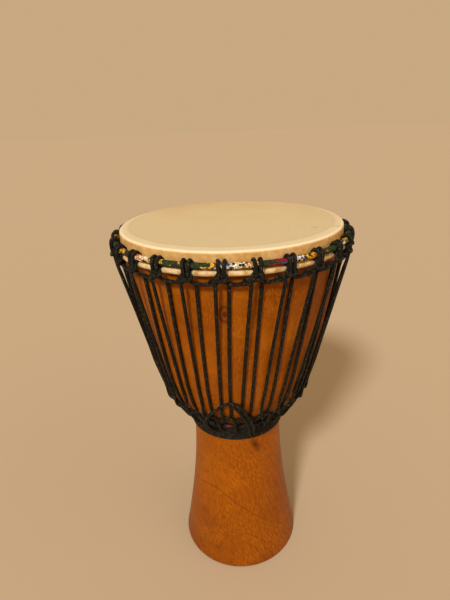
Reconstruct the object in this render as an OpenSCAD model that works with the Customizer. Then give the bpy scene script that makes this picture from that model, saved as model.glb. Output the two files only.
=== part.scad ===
// Rope-tuned goblet drum (djembe): a carved wooden shell with a goatskin head. The skin is folded round
// a flesh ring and pulled down by a cloth-wrapped crown ring. Cord loops hitched on the crown ring and
// on a second ring round the neck are laced together, and the spare cord is wound round the neck.
// Millimetres, +Z up, origin on the floor at the middle of the foot.

/* [Shell] */
// Height from the floor to the playing surface
drum_h = 600; // [520:5:720]
// Diameter over the skin at the rim
head_d = 324; // [290:2:390]
// Diameter of the foot on the floor
foot_d = 208; // [180:2:250]
// Diameter of the neck, where the stem is narrowest
neck_d = 148; // [124:2:166]
// Height of the neck above the floor
neck_z = 262; // [218:2:315]
// Diameter of the shoulder under the bowl
shoulder_d = 202; // [190:2:212]
// Rise from the neck to the shoulder
shoulder_rise = 54; // [50:1:60]
// Diameter of the belly, where the shoulder has become the bowl's straight side
belly_d = 258; // [250:2:266]
// Rise from the neck to the belly
belly_rise = 126; // [118:1:140]
// Diameter of the throat, the hole through the neck
throat_d = 104; // [84:2:116]
// Width of the wooden rim that stands on the floor
foot_wall = 16; // [10:1:24]
// Thickness of the bowl's wall
bowl_wall = 12; // [10:0.5:15]
// Rounding of the bearing edge
edge_round = 3; // [2:0.5:6]

/* [Head] */
// Thickness of the goatskin
skin_t = 0.9; // [0.7:0.1:1.2]

/* [Rings] */
// Diameter of the steel rod that the rings are bent from
rod_d = 6; // [5:0.2:7.2]
// Thickness of the cloth wrapping on the crown ring and the neck ring
cloth_t = 0.9; // [0.6:0.1:1.2]
// Drop from the playing surface to the middle of the crown ring
crown_drop = 15; // [14:0.5:21]
// Rise from the neck to where the neck ring presses on the wood
neck_ring_rise = 38; // [35:0.5:38]

/* [Cord] */
// Diameter of the braided cord
cord_d = 4.8; // [3.8:0.1:5.2]
// Thickness of the cord where it is squeezed flat under a ring
pressed_t = 2.4; // [2:0.1:2.8]
// Number of knots on the crown ring
knots = 26; // [22:2:28]
// Direction of the first knot, counted from +X towards +Y
first_knot = -94.2; // [-120:0.1:0]
// Drop from the flesh ring to the level stretch of a top loop
top_loop_drop = 12.5; // [10:0.5:14]
// Rise from the neck to the level stretch of a bottom loop
bottom_loop_rise = 73; // [71:1:76]
// Distance between the two cords under one top knot
top_pair = 15.2; // [14:0.2:18]
// Distance between the two cords that share one bottom loop
bottom_pair = 13; // [12:0.2:14]
// Angle that the bottom loops are turned through against the top loops
bottom_turn = -3.4; // [-4:0.2:0]
// Turns of spare cord round the neck
turns = 5; // [3:1:5]

/* [Hidden] */

// Clearance between pieces that lie against each other
fit = 0.15;
// Clearance between a steel ring and what is wrapped round it
wrap_fit = 0.05;
// Points on each curve of the shell's outline
curve_steps = 8;
// Sides of a cord's section
cord_sides = 8;

head_r = head_d / 2;
shell_r = head_r - skin_t;
shell_h = drum_h - skin_t;
foot_r = foot_d / 2;
neck_r = neck_d / 2;
throat_r = throat_d / 2;
rod_r = rod_d / 2;
wrapped_r = rod_r + wrap_fit + cloth_t;
folded_r = rod_r + wrap_fit + skin_t;
cord_r = cord_d / 2;
// Step between the centres of two cords that lie side by side
cord_step = cord_d + fit;

// Middle of each ring's section, as [radius, height]
crown = [head_r + pressed_t + 2 * fit + wrapped_r, drum_h - crown_drop];
flesh_r = head_r + wrap_fit + rod_r;
ring_step = wrapped_r + folded_r + pressed_t + 2 * fit;
flesh = [flesh_r, crown[1] - sqrt(pow(ring_step, 2) - pow(crown[0] - flesh_r, 2))];

// ---- Outline of the shell, as [radius, height] ----

// Cubic curve through p[0] and p[3], pulled towards p[1] and p[2], without its first point
function curve(p) = [for (i = [1:curve_steps]) let (t = i / curve_steps, u = 1 - t)
    u * u * u * p[0] + 3 * u * u * t * p[1] + 3 * u * t * t * p[2] + t * t * t * p[3]];
// Part of a circle about c
function arc(c, r, from, to, steps) = [for (i = [0:steps]) let (a = from + (to - from) * i / steps)
    c + r * [cos(a), sin(a)]];

neck = [neck_r, neck_z];
shoulder = [shoulder_d / 2, neck_z + shoulder_rise];
belly = [belly_d / 2, neck_z + belly_rise];
rim_z = shell_h - edge_round;
rim_start = [shell_r, rim_z - 7];

stem_curve = curve([[foot_r, 0], [foot_r - 16, 0.34 * neck_z], [neck_r, 0.65 * neck_z], neck]);
neck_curve = curve([neck, neck + [0, 38], shoulder - [21, 16], shoulder]);
shoulder_curve = curve([shoulder, shoulder + [9, 10], belly - [9, 34], belly]);
bowl_curve = curve([belly, belly + [8, 40], rim_start - [4, 68], rim_start]);
edge_curve = arc([shell_r - edge_round, rim_z], edge_round, 0, 90, 6);
outside = concat([[foot_r, 0]], stem_curve, neck_curve, shoulder_curve, bowl_curve, edge_curve);
// The same outline read as radius at a height
outside_table = [for (p = concat([[foot_r, 0]], stem_curve, neck_curve, shoulder_curve, bowl_curve))
    [p[1], p[0]]];
function outside_r(z) = lookup(z, outside_table);
// Point at a distance d out from the wood, square to its surface, level with the outline's height z
function off_wood(z, d) = let (slope = (outside_r(z + 3) - outside_r(z - 3)) / 6)
    [outside_r(z), z] + d * [1, -slope] / sqrt(1 + slope * slope);

inner_shoulder = [throat_r + 0.48 * (belly[0] - throat_r), shoulder[1] + 26];
inner_belly = [belly[0] - bowl_wall + 2, belly[1] + 18];
inner_rim = [shell_r - bowl_wall, shell_h - 4];
bell_top = [throat_r, 0.76 * neck_z];
throat_top = [throat_r, neck_z + 24];
inside = concat(
    [inner_rim],
    curve([inner_rim, inner_rim - [3, 66], inner_belly + [6, 42], inner_belly]),
    curve([inner_belly, inner_belly - [6, 36], inner_shoulder + [11, 14], inner_shoulder]),
    curve([inner_shoulder, inner_shoulder - [14, 18], throat_top + [0, 20], throat_top]),
    [bell_top],
    curve([bell_top, bell_top - [0, 60], [foot_r - foot_wall - 12, 70], [foot_r - foot_wall, 0]]));

// Softens the corner between the floor and the outside of the foot
foot_round = 2.5;
function eased_foot(p) = concat(arc([p[0][0] - foot_round, foot_round], foot_round, -90, 0, 4),
    [for (i = [1:len(p) - 1]) p[i]]);

module shell() {
    color("peru")
        rotate_extrude($fn = 96)
            polygon(concat(eased_foot(outside), inside));
}

// ---- Head and rings ----

// Angle above outwards at which the folded skin is cut off, under the crown ring
fold_end = 100;

module drum_head() {
    rim_c = [head_r - skin_t - edge_round, drum_h - skin_t - edge_round];
    // The skin runs over the rim, down the collar and up round the flesh ring
    outer = concat([[0, drum_h]],
        arc(rim_c, edge_round + skin_t, 90, 0, 6),
        arc(flesh, rod_r + wrap_fit, 180, 360 + fold_end, 18));
    inner = concat([[0, drum_h - skin_t]],
        arc(rim_c, edge_round, 90, 0, 6),
        arc(flesh, folded_r, 180, 360 + fold_end, 18));
    color("wheat")
        rotate_extrude($fn = 96)
            polygon(concat(outer, [for (i = [len(inner) - 1:-1:0]) inner[i]]));
}

// Rod bent into a ring; c is the middle of its section
module steel_ring(c) {
    rotate_extrude($fn = 96)
        translate(c)
            circle(d = rod_d, $fn = 24);
}

// Cloth strip wound round a ring
module ring_wrapping(c) {
    rotate_extrude($fn = 96)
        translate(c)
            difference() {
                circle(r = wrapped_r, $fn = 32);
                circle(r = wrapped_r - cloth_t, $fn = 32);
            }
}

// The neck ring bears on the wood through the cord that is pressed between them
neck_contact = off_wood(neck_z + neck_ring_rise, 0);
neck_ring_c = off_wood(neck_z + neck_ring_rise, wrapped_r + pressed_t + 3 * fit);

module flesh_ring() {
    color("silver")
        steel_ring(flesh);
}

module crown_ring() {
    color("silver")
        steel_ring(crown);
}

module crown_ring_cloth() {
    color("darkslategray")
        ring_wrapping(crown);
}

module neck_ring() {
    color("silver")
        steel_ring(neck_ring_c);
}

module neck_ring_cloth() {
    color("darkslategray")
        ring_wrapping(neck_ring_c);
}

// ---- Cords ----
// A cord's route is a list of [point, squeeze]. The squeeze is a vector: its direction is the way the cord
// is pressed flat and its length is the share of the cord's thickness that is lost.

function unit(v) = v / norm(v);
// Point at direction az, with [radius, height] p, moved sideways by s along the circle
function at(az, p, s = 0) = let (a = az + s / p[0] * 180 / PI) [p[0] * cos(a), p[0] * sin(a), p[1]];
// Direction in the upright plane at az
function toward(az, v) = [v[0] * cos(az), v[0] * sin(az), v[1]];

free = [0, 0, 0];
// Angle between the bends of a cord that goes round a ring
bend = 60;
// Share of its thickness that a cord loses where it is squeezed under a ring
flat = 1 - pressed_t / cord_d;
// Route point round a ring with middle c: angle is counted from outwards towards up. The point lies far
// enough out for the straight stretches on both sides of it to clear the ring.
function round_ring(az, c, s, angle, pressed) = let (
    dir = [cos(angle), sin(angle)],
    reach = (wrapped_r + fit + (pressed ? pressed_t / 2 : cord_r)) / cos(bend / 2))
    [at(az, c + reach * dir, s), pressed ? toward(az, dir) * flat : free];

function tangents(p) = [for (i = [0:len(p) - 1])
    unit(p[min(i + 1, len(p) - 1)][0] - p[max(i - 1, 0)][0])];
function across(n, t) = unit(n - (n * t) * t);
// A sideways direction carried along the route without twisting
function sideways(t) = [for (i = 0, n = across([0.31, 0.43, 0.85], t[0]); i < len(t);
    i = i + 1, n = i < len(t) ? across(n, t[i]) : n) n];
function squeezed(v, q) = norm(q) == 0 ? v : v - (v * q) * q / norm(q);

module cord(route) {
    t = tangents(route);
    n = sideways(t);
    rings = len(route);
    last = rings - 1;
    points = [for (i = [0:last]) for (j = [0:cord_sides - 1])
        let (a = 360 * j / cord_sides, side = cos(a) * n[i] + sin(a) * cross(t[i], n[i]))
        route[i][0] + squeezed(cord_r * side, route[i][1])];
    walls = [for (i = [0:last - 1]) for (j = [0:cord_sides - 1])
        let (k = (j + 1) % cord_sides, a = i * cord_sides, b = a + cord_sides)
        [a + j, b + j, b + k, a + k]];
    start_cap = [for (j = [0:cord_sides - 1]) j];
    end_cap = [for (j = [cord_sides - 1:-1:0]) last * cord_sides + j];
    polyhedron(points = points, faces = concat(walls, [start_cap, end_cap]), convexity = 10);
}

knot_step = 360 / knots;
function knot_az(k) = first_knot + k * knot_step;
// The knot at the back, where every cord starts and ends
back_knot = floor(knots / 2);

// Level stretch of the top loops, just under the flesh ring
top_loop = [flesh[0] + folded_r + 0.4, flesh[1] - top_loop_drop];
// The four cords of a knot, in front of the flesh ring and below it
knot_front = crown[0] + wrapped_r + fit + cord_r;
knot_back = flesh[0] + folded_r + 12 * fit + pressed_t / 2;
knot_foot = flesh[1] - folded_r - 2.4;
// Share of its thickness that the crossing band loses
band_flat = 0.15;

// Left half of a cow hitch: up in front of both rings, over the crown ring, down behind it, out between the
// rings and down to the band that crosses the front. side is -1 on the left and 1 on the right.
function half_hitch(az, side) = [
    [at(az, top_loop, side * top_pair / 2), free],
    [at(az, [top_loop[0] + 1.9, knot_foot - 0.5], side * (cord_r + fit)), free],
    [at(az, [knot_front, flesh[1]], side * (cord_r + fit)), free],
    round_ring(az, crown, side * (cord_r + 1.2), bend / 2, false),
    round_ring(az, crown, side * (cord_r + 1.6), 1.5 * bend, false),
    round_ring(az, crown, side * (cord_r + 1.6), 2.5 * bend, true),
    round_ring(az, crown, side * (cord_r + 1.4), 3.5 * bend, true),
    round_ring(az, crown, side * (cord_r + 0.8), 4.5 * bend, true),
    [at(az, [knot_back, flesh[1] + 2.8], side * (cord_r + fit)), toward(az, [flat, 0])],
    [at(az, [knot_back + 1.2, knot_foot + 3.6], side * (cord_r + 4.9)), free],
    [at(az, [top_loop[0] + 7.1, knot_foot + 0.2], side * (cord_r + 1.9)), toward(az, [band_flat, 0])]];
function reversed(list) = [for (i = [len(list) - 1:-1:0]) list[i]];
function hitch(az) = concat(half_hitch(az, -1), reversed(half_hitch(az, 1)));

// The cord's two ends meet in the loop at the back
module top_loop_cord() {
    start = [at(knot_az(back_knot), top_loop, top_pair / 2 + fit), free];
    color("darkslategray")
        cord([start, for (k = [1:knots]) each hitch(knot_az(back_knot + k))]);
}

// Level stretch of the bottom loops, on the bowl's shoulder with room for one pressed cord beneath it
bottom_z = neck_z + bottom_loop_rise;
under_cord = fit + cord_r;
pressed_cord = fit + pressed_t / 2;
over_cord = fit + pressed_t + fit + cord_r;
outer_cord = over_cord + cord_r + fit + pressed_t / 2;
bottom_loop = off_wood(bottom_z, over_cord);
// Half the width of a bottom loop, which leaves its two lacing cords inside it
bottom_half = bottom_pair / 2 + cord_step;

function loop_az(k) = knot_az(k) + bottom_turn;
// One bottom loop and the turn round the neck ring after it
function bottom_wave(az) = let (
    turn = az + knot_step / 2,
    rise_z = neck_z + 53,
    to_wood = neck_contact - neck_ring_c,
    wood_side = atan2(to_wood[1], to_wood[0]) - 360) [
    [at(az, bottom_loop, -bottom_half), free],
    [at(az, bottom_loop, bottom_half), free],
    round_ring(turn, neck_ring_c, -cord_r - 0.6, wood_side + 3.5 * bend, false),
    round_ring(turn, neck_ring_c, -cord_r - 0.4, wood_side + 2.5 * bend, false),
    round_ring(turn, neck_ring_c, -cord_r, wood_side + 1.5 * bend, false),
    round_ring(turn, neck_ring_c, 0, wood_side + bend / 2, true),
    round_ring(turn, neck_ring_c, cord_r, wood_side - bend / 2, true),
    [at(turn, off_wood(rise_z, under_cord + 0.5), cord_r + 0.6), free]];

// This cord's two ends meet at the back as well
module bottom_loop_cord() {
    end = [at(loop_az(back_knot + 1), bottom_loop, -bottom_half - fit), free];
    color("darkslategray")
        cord([for (k = [1:knots]) each bottom_wave(loop_az(back_knot + k)), end]);
}

// Heights at which the lacing bends as it comes down the bowl
lacing_bends = [for (f = [0.7, 0.45, 0.22, 0.0]) belly[1] + f * (flesh[1] - belly[1])];
low_bend = belly[1] - 36;
// Radius of a lacing cord that starts from top_r: straight while it can be, then lying on the wood
function lacing_r(z, top_r) = let (
    base = outside_r(belly[1]) + under_cord + fit,
    share = (z - belly[1]) / (top_loop[1] - belly[1]))
    max(outside_r(z) + under_cord + 4 * fit, base + share * (top_r - base));
// Angle that a lacing cord has turned through at height z, from its top loop towards its bottom loop
function lean(z) = bottom_turn * (top_loop[1] - z) / (top_loop[1] - bottom_z);
// Distance sideways of a lacing cord at height z
function lacing_s(z) = let (share = (z - bottom_z) / (top_loop[1] - bottom_z))
    (bottom_pair + share * (top_pair - bottom_pair)) / 2;
// One length of lacing from the top loop down to the bottom loop. top_flat is the share of its
// thickness that it loses at the top.
function lacing_down(az, side, top_r, top_flat, low_d) = concat(
    [[at(az, [top_r, top_loop[1]], side * top_pair / 2), toward(az, [top_flat, 0])]],
    [for (z = lacing_bends) [at(az + lean(z), [lacing_r(z, top_r), z], side * lacing_s(z)), free]],
    [[at(az + lean(low_bend), off_wood(low_bend, under_cord + 5 * fit), side * lacing_s(low_bend)), free],
    low_end(az + bottom_turn, side, low_d)]);
// The lacing is pressed flat at a bottom loop, both against the wood behind it and in front of it
function low_end(az, side, d) = let (lift = off_wood(bottom_z, 1) - off_wood(bottom_z, 0))
    [at(az, off_wood(bottom_z, d), side * bottom_pair / 2), toward(az, lift) * flat];

inner_top = top_loop[0] - cord_step - 0.5;
outer_top = top_loop[0] + cord_r + 2 * fit + pressed_t / 2;
// Along the back of a top loop's level stretch, then over it to the front
function over_top(k) = [
    [at(knot_az(k), [inner_top + 0.2, top_loop[1] - 2.2], top_pair / 2 + 3.5), free],
    [at(knot_az(k + 1), [inner_top + 0.2, top_loop[1] - 2.2], -top_pair / 2 - 9.5), free],
    [at(knot_az(k + 1), [inner_top + 1.5, top_loop[1] + 4.1], -top_pair / 2 - 5.4), free],
    [at(knot_az(k + 1), [top_loop[0] + 3.1, top_loop[1] + cord_step + 0.4], -top_pair / 2 - 2), free]];
// Under the level stretch of a bottom loop, from in front of it to behind it
function under_bottom(k) = [
    [at(loop_az(k), off_wood(bottom_z - cord_step, over_cord + 2), -bottom_pair / 2 + 2.6), free],
    [at(loop_az(k), off_wood(bottom_z - cord_step, under_cord + 1.2), bottom_pair / 2 - 2.6), free]];

// The lacing zigzags round the drum. Each cord that goes up does so behind the loops, on the right of its
// knot, and comes down in front of them on the left of the next knot.
zigzag = [for (k = [0:knots - 1]) let (i = back_knot + k) each concat(
    reversed(lacing_down(knot_az(i), 1, inner_top, 0, pressed_cord)),
    over_top(i),
    lacing_down(knot_az(i + 1), -1, outer_top, flat, outer_cord),
    k < knots - 1 ? under_bottom(i + 1) : [])];

// The spare cord leaves the last loop at the back, crosses the neck ring and winds up round the neck
wind_start = loop_az(back_knot) + 14;
wind_end = 360 - 122;
wind_low = neck_z - 0.8;
all_turns = turns + (wind_end - wind_start) / 360;
steps_per_turn = 24;
// The bends lie far enough out for the straight stretches between them to clear the wood
winding_out = under_cord + fit + neck_r * (1 / cos(180 / steps_per_turn) - 1);
winding = [for (i = [0:floor(all_turns * steps_per_turn)]) let (
    az = wind_start + 360 * i / steps_per_turn,
    z = wind_low + i / steps_per_turn * cord_step)
    [at(az, off_wood(z, winding_out)), free]];
over_ring = neck_ring_c[0] + wrapped_r + cord_step;
over_turns = winding_out + cord_step;
crossing = [
    [at(loop_az(back_knot), [over_ring + 16, neck_ring_c[1] + 24], -1), free],
    [at(loop_az(back_knot), [over_ring + 3, neck_ring_c[1] + 3], -1), free],
    [at(loop_az(back_knot), [neck_ring_c[0] + 4, neck_ring_c[1] - wrapped_r - cord_step], 0), free],
    [at(loop_az(back_knot), off_wood(neck_z + 16, over_turns + 0.4), 1), free],
    [at(loop_az(back_knot), off_wood(neck_z + 5, over_turns), 4), free],
    [at(loop_az(back_knot), off_wood(neck_z - 1, over_turns - 2), 10), free]];

// The end of the spare cord climbs over the neck ring on the left, arches over the lacing, comes down on
// the right over the turns, and is doubled back up beside itself. Each point is a direction, a rise over
// the neck and a distance off the wood.
tail = [for (p = [
    [-122, 24, 8], [-118.5, 22, 11], [-114.6, 31, 13.5], [-112.6, 42, 15.5], [-112, 54, 15.5],
    [-112.6, 66, 15], [-111.5, 77, 13.5], [-107.8, 87, 10.5], [-103.6, 95, 9], [-100.2, 103, 8.2],
    [-97, 109, 8], [-94, 111, 8], [-91.2, 110, 8], [-88.6, 105, 8.2], [-85.8, 95, 9], [-83, 84, 12.5],
    [-80.6, 73, 15], [-78.2, 60, 15], [-76.6, 47, 15.8], [-75.8, 38, 17], [-75.2, 30, 18.6],
    [-74.2, 23, 17.5], [-73, 15, 12.5], [-74.6, 9.5, 9], [-76.8, 13, 11], [-78, 20, 16.5],
    [-78.6, 28, 18.6], [-79.2, 38, 18], [-80, 47, 16], [-81.4, 59, 15], [-83.8, 71, 13.5],
    [-86, 81, 11.5], [-88.2, 91, 8.6], [-90.6, 99.5, 8], [-92.6, 103.6, 8]])
    [at(p[0], off_wood(neck_z + p[1], p[2])), free]];

module lacing_cord() {
    color("darkslategray")
        cord(concat(zigzag, crossing, winding, tail));
}

shell();
drum_head();
flesh_ring();
crown_ring();
crown_ring_cloth();
neck_ring();
neck_ring_cloth();
top_loop_cord();
bottom_loop_cord();
lacing_cord();
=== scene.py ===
import math

import bmesh
import bpy
from mathutils import Matrix, Vector


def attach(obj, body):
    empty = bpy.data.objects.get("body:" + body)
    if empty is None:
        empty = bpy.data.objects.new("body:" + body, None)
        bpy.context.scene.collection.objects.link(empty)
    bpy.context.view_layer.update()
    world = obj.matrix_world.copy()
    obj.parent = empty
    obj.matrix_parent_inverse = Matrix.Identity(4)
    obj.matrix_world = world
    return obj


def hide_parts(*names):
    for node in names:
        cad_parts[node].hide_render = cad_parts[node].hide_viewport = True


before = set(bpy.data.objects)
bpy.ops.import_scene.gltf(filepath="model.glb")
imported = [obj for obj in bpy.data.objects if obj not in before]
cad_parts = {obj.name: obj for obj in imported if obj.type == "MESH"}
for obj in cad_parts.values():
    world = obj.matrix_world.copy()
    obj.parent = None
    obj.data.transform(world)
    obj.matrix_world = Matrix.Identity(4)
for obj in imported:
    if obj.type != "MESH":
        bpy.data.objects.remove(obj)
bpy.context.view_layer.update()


# ---- Shell ----
# The body is carved from one log, hollowed right through from bowl to foot, sanded, stained orange-brown
# and thinly varnished outside. Inside it keeps the raw wood. It stands on the rim of its foot.
MM = 0.001
drum_h = 600
head_r = 162
foot_r = 104
skin_t = 0.9
edge_round = 3
foot_round = 2.5
bowl_wall = 12
foot_wall = 16
shell_r = head_r - skin_t
shell_h = drum_h - skin_t
neck = Vector((74, 262))
shoulder = Vector((101, 316))
belly = Vector((129, 388))
rim_start = Vector((shell_r, shell_h - edge_round - 7))


def curve(a, b, c, d, steps=20):
    """Points of the cubic curve from a to d, pulled towards b and c, without a itself."""
    a, b, c, d = Vector(a), Vector(b), Vector(c), Vector(d)
    points = []
    for i in range(1, steps + 1):
        t = i / steps
        u = 1 - t
        points.append(u * u * u * a + 3 * u * u * t * b + 3 * u * t * t * c + t * t * t * d)
    return points


def arc(centre, radius, start, end, steps):
    """Points on part of a circle, from start to end degrees."""
    turns = [math.radians(start + (end - start) * i / steps) for i in range(steps + 1)]
    return [Vector(centre) + radius * Vector((math.cos(a), math.sin(a))) for a in turns]


stem = curve((foot_r, 0), (foot_r - 16, 0.34 * neck.y), (neck.x, 0.65 * neck.y), neck)
throat = curve(neck, neck + Vector((0, 38)), shoulder - Vector((21, 16)), shoulder)
shoulder_side = curve(shoulder, shoulder + Vector((9, 10)), belly - Vector((9, 34)), belly)
bowl_side = curve(belly, belly + Vector((8, 40)), rim_start - Vector((4, 68)), rim_start)
outside = [Vector((foot_r, 0))] + stem + throat + shoulder_side + bowl_side

throat_r = 52
inner_rim = Vector((shell_r - bowl_wall, shell_h - 4))
inner_belly = belly + Vector((-10, 18))
inner_shoulder = Vector((throat_r + 0.48 * (belly.x - throat_r), shoulder.y + 26))
throat_top = Vector((throat_r, neck.y + 24))
bell_top = Vector((throat_r, 0.76 * neck.y))
inside = [inner_rim]
inside += curve(inner_rim, inner_rim - Vector((3, 66)), inner_belly + Vector((6, 42)), inner_belly)
inside += curve(inner_belly, inner_belly - Vector((6, 36)), inner_shoulder + Vector((11, 14)), inner_shoulder)
inside += curve(inner_shoulder, inner_shoulder - Vector((14, 18)), throat_top + Vector((0, 20)), throat_top)
inside += [bell_top]
inside += curve(bell_top, bell_top - Vector((0, 60)), (foot_r - 28, 70), (foot_r - foot_wall, 0))

foot_edge = arc((foot_r - foot_round, foot_round), foot_round, -90, 0, 5)
bearing_edge = arc((shell_r - edge_round, shell_h - edge_round), edge_round, 0, 90, 10)


def turned(outline, closed, steps=192):
    """A bmesh of an outline in mm, as (radius, height), spun about the drum's axis."""
    bm = bmesh.new()
    ring = [bm.verts.new((p[0] * MM, 0, p[1] * MM)) for p in outline]
    ends = ring[1:] + ring[:1] if closed else ring[1:]
    edges = [bm.edges.new(pair) for pair in zip(ring, ends)]
    bmesh.ops.spin(bm, geom=ring + edges, cent=(0, 0, 0), axis=(0, 0, 1), angle=2 * math.pi,
                   steps=steps, use_merge=True)
    bmesh.ops.remove_doubles(bm, verts=bm.verts, dist=1e-6)
    bmesh.ops.recalc_face_normals(bm, faces=bm.faces)
    return bm


def finished(name, bm, materials, slot, *nodes):
    """Makes the piece that shows in place of the CAD nodes, smooth except at its sharp edges."""
    for face in bm.faces:
        face.smooth = True
    mesh = bpy.data.meshes.new(name)
    bm.to_mesh(mesh)
    bm.free()
    mesh.set_sharp_from_angle(angle=math.radians(50))
    for material in materials:
        mesh.materials.append(material)
    piece = bpy.data.objects.new(name, mesh)
    bpy.context.collection.objects.link(piece)
    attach(piece, "root")
    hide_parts(*nodes)
    return piece


def srgb(code):
    """A colour written as sRGB hex digits, turned to the linear values that the shader works in."""
    parts = [int(code[i:i + 2], 16) / 255 for i in (0, 2, 4)]
    linear = [p / 12.92 if p <= 0.04045 else ((p + 0.055) / 1.055) ** 2.4 for p in parts]
    return (*linear, 1)


def add(tree, kind, inputs=None, stops=None, **settings):
    """Adds a shader node. inputs feeds its sockets with outputs or values; stops fills a colour ramp."""
    made = tree.nodes.new("ShaderNode" + kind)
    for name, value in settings.items():
        setattr(made, name, value)
    for name, value in (inputs or {}).items():
        if isinstance(value, bpy.types.NodeSocket):
            tree.links.new(value, made.inputs[name])
        else:
            made.inputs[name].default_value = value
    if stops:
        ramp = made.color_ramp
        while len(ramp.elements) < len(stops):
            ramp.elements.new(1)
        for element, (place, colour) in zip(ramp.elements, stops):
            element.position = place
            element.color = srgb(colour) if isinstance(colour, str) else (colour, colour, colour, 1)
    return made


def new_material(name):
    """An empty material, and its node tree."""
    material = bpy.data.materials.new(name)
    material.use_nodes = True
    material.node_tree.nodes.clear()
    return material, material.node_tree


# Close-grained reddish hardwood, stained orange-brown, sanded and varnished thin: satin, with the grain
# upright on the bowl and running aslant on the foot, fine dark pores and soft lighter and darker clouds.
stained_wood, tree = new_material("stained_hardwood_satin_varnish")
place = add(tree, "TexCoord").outputs["Object"]
height = add(tree, "SeparateXYZ", {0: place}).outputs["Z"]
# 1 on the foot and 0 on the bowl
on_foot = add(tree, "MapRange", {"Value": height, "From Min": 0.30, "From Max": 0.24},
              interpolation_type="SMOOTHSTEP").outputs[0]
# The knot is on the bowl's front, under the rim
knot_place = (-0.0112, -0.1530, 0.5172)
to_knot = add(tree, "VectorMath", {0: place, 1: knot_place}, operation="SUBTRACT").outputs[0]
to_knot_flat = add(tree, "VectorMath", {0: to_knot, 1: (1, 1, 0.62)}, operation="MULTIPLY").outputs[0]
knot_distance = add(tree, "VectorMath", {0: to_knot_flat}, operation="LENGTH").outputs["Value"]
knot = add(tree, "MapRange", {"Value": knot_distance, "From Min": 0.0125, "From Max": 0.0045},
           interpolation_type="SMOOTHSTEP").outputs[0]
# Slow wander of the grain, some 110 mm across
wander = add(tree, "TexNoise", {"Vector": place, "Scale": 9.0, "Detail": 2.0}).outputs["Color"]
wander = add(tree, "VectorMath", {0: wander, 1: (0.5, 0.5, 0.5)}, operation="SUBTRACT").outputs[0]
wander = add(tree, "VectorMath", {0: wander, "Scale": 0.022}, operation="SCALE").outputs[0]
grain_place = add(tree, "VectorMath", {0: place, 1: wander}, operation="ADD").outputs[0]
upright = add(tree, "Mapping", {"Vector": grain_place, "Location": (0.05, 0.03, 0),
                                "Rotation": (math.radians(3), math.radians(-4), 0)}).outputs[0]
aslant = add(tree, "Mapping", {"Vector": grain_place, "Location": (0.02, 0.05, 0),
                               "Rotation": (math.radians(4), math.radians(18), 0)}).outputs[0]
log = add(tree, "Mix", {"Factor": on_foot, "A": upright, "B": aslant}, data_type="VECTOR")
log_place = [s for s in log.outputs if s.type == "VECTOR"][0]
# Growth rings 8 mm apart
rings = add(tree, "TexWave", {"Vector": log_place, "Scale": 38.0, "Distortion": 5.0, "Detail": 2.0,
                              "Detail Scale": 1.2}, wave_type="RINGS", rings_direction="Z").outputs["Fac"]
# Fibre streaks about 1 mm wide and 10 mm long
fibre_place = add(tree, "Mapping", {"Vector": log_place, "Scale": (760, 760, 95)}).outputs[0]
fibre = add(tree, "TexNoise", {"Vector": fibre_place, "Scale": 1.0, "Detail": 3.0,
                               "Roughness": 0.6}).outputs["Fac"]
# Pores: short dark dashes, drawn 1 mm wide and 7 mm long, coarser than real ones, so that they show
pore_place = add(tree, "Mapping", {"Vector": log_place, "Scale": (620, 620, 110)}).outputs[0]
pores = add(tree, "TexNoise", {"Vector": pore_place, "Scale": 1.0, "Detail": 2.0,
                               "Roughness": 0.7}).outputs["Fac"]
pores = add(tree, "MapRange", {"Value": pores, "From Min": 0.56, "From Max": 0.70}).outputs[0]
# Clouds of stain, some 70 mm across, and the wood darker towards the floor
clouds = add(tree, "TexNoise", {"Vector": log_place, "Scale": 14.0, "Detail": 3.0,
                                "Roughness": 0.55}).outputs["Fac"]
darker_low = add(tree, "MapRange", {"Value": height, "From Min": 0.0, "From Max": 0.15, "To Min": -0.34,
                               "To Max": 0.0}).outputs[0]
stain = add(tree, "Math", {0: clouds, 1: darker_low}, operation="ADD").outputs[0]
base = add(tree, "ValToRGB", {"Fac": stain}, stops=[(0.14, "6C3400"), (0.50, "904A01"),
                                                    (0.66, "AC6206")]).outputs[0]
ring_tone = add(tree, "ValToRGB", {"Fac": rings}, stops=[(0.0, "743800"), (0.25, "944E01"),
                                                         (1.0, "9E5604")]).outputs[0]
base = add(tree, "MixRGB", {"Fac": 0.30, "Color1": base, "Color2": ring_tone}).outputs[0]
fibre_tone = add(tree, "ValToRGB", {"Fac": fibre}, stops=[(0.30, "6A2E00"), (0.50, "934C01"),
                                                          (0.70, "B86F0C")]).outputs[0]
# The fibres show more in some patches than in others
flecked = add(tree, "TexNoise", {"Vector": place, "Scale": 17.0, "Detail": 1.0}).outputs["Fac"]
flecked = add(tree, "MapRange", {"Value": flecked, "From Min": 0.40, "From Max": 0.60, "To Min": 0.22,
                                 "To Max": 0.62}).outputs[0]
base = add(tree, "MixRGB", {"Fac": flecked, "Color1": base, "Color2": fibre_tone}).outputs[0]
pore_share = add(tree, "Math", {0: pores, 1: 0.42}, operation="MULTIPLY").outputs[0]
base = add(tree, "MixRGB", {"Fac": pore_share, "Color1": base, "Color2": srgb("5C2A03")}).outputs[0]
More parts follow.
